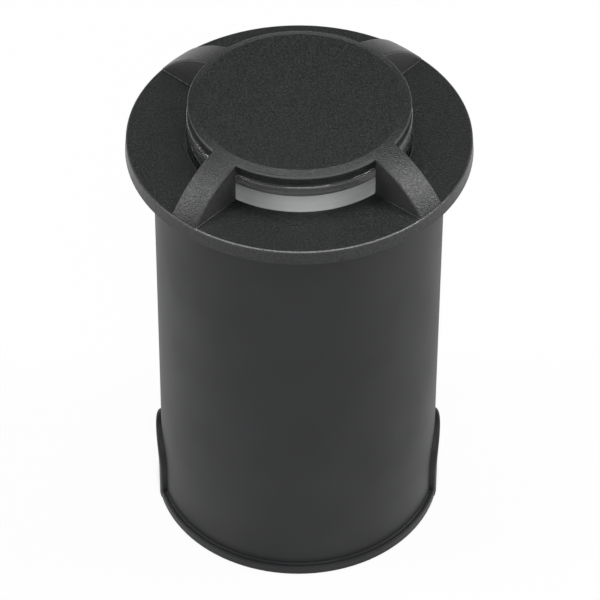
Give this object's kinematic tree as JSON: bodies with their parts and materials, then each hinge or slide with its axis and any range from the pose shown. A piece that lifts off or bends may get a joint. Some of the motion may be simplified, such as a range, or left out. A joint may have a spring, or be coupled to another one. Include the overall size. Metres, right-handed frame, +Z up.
{
  "type": "driveway light",
  "caption": "Drive-over ground light: a flanged cast head with windows between its ribs stands in a round mounting sleeve with arched cable inlets.",
  "frame": {"origin": "centre of the sleeve's foot, on the plane that the light stands on", "axes": "+Z up along the light's axis; the windows face +X, -X, +Y and -Y; the cable inlets lie close to +X and -X"},
  "size_m": [0.1308, 0.1308, 0.1978],
  "materials": {
    "sleeve_plastic": "satin moulded black",
    "cover_coating": "fine textured charcoal powder coat on die-cast aluminium",
    "housing_coating": "black paint on die-cast aluminium",
    "clear_lens": "thick-walled clear polycarbonate",
    "diffuser": "pale frosted",
    "reflector": "white",
    "board": "white solder mask",
    "led_phosphor": "yellow phosphor",
    "bare_aluminium": "as cast",
    "screw_steel": "stainless",
    "black_rubber": "matt black",
    "silicone": "translucent grey",
    "wire_sleeving": "silicone sleeving",
    "driver_plastic": "moulded",
    "terminal_plastic": "ivory polyamide",
    "terminal_brass": "plain",
    "gland_plastic": "black polyamide"
  },
  "bodies": {
    "sleeve": {"mounting_sleeve": "sleeve_plastic"},
    "ring": {"seal_ring": "black_rubber"},
    "head": {"cover": "cover_coating", "lens": "clear_lens", "lens_gasket": "silicone", "diffuser_ring": "diffuser", "reflector_cone": "reflector", "led_board": "board", "leds": "led_phosphor", "board_screws": "screw_steel", "heat_spreader": "bare_aluminium", "led_leads": "wire_sleeving", "housing_gasket": "silicone", "lamp_housing": "housing_coating", "housing_screws": "screw_steel", "driver_case": "driver_plastic", "driver_screws": "screw_steel", "supply_leads": "wire_sleeving", "terminal_block": "terminal_plastic", "terminal_clamps": "terminal_brass", "terminal_fixings": "screw_steel", "gland_washer": "black_rubber", "gland_body": "gland_plastic", "gland_locknut": "gland_plastic", "gland_seal": "black_rubber", "gland_nut": "gland_plastic"}
  },
  "joints": [
    {"name": "head_turn", "type": "hinge", "parent": "sleeve", "child": "ring", "pos_m": [0, 0, 0.17325], "axis": [0, 0, 1], "continuous": true},
    {"name": "head_lift", "type": "slide", "parent": "ring", "child": "head", "axis": [0, 0, 1], "range_m": [0, 0.1]}
  ]
}
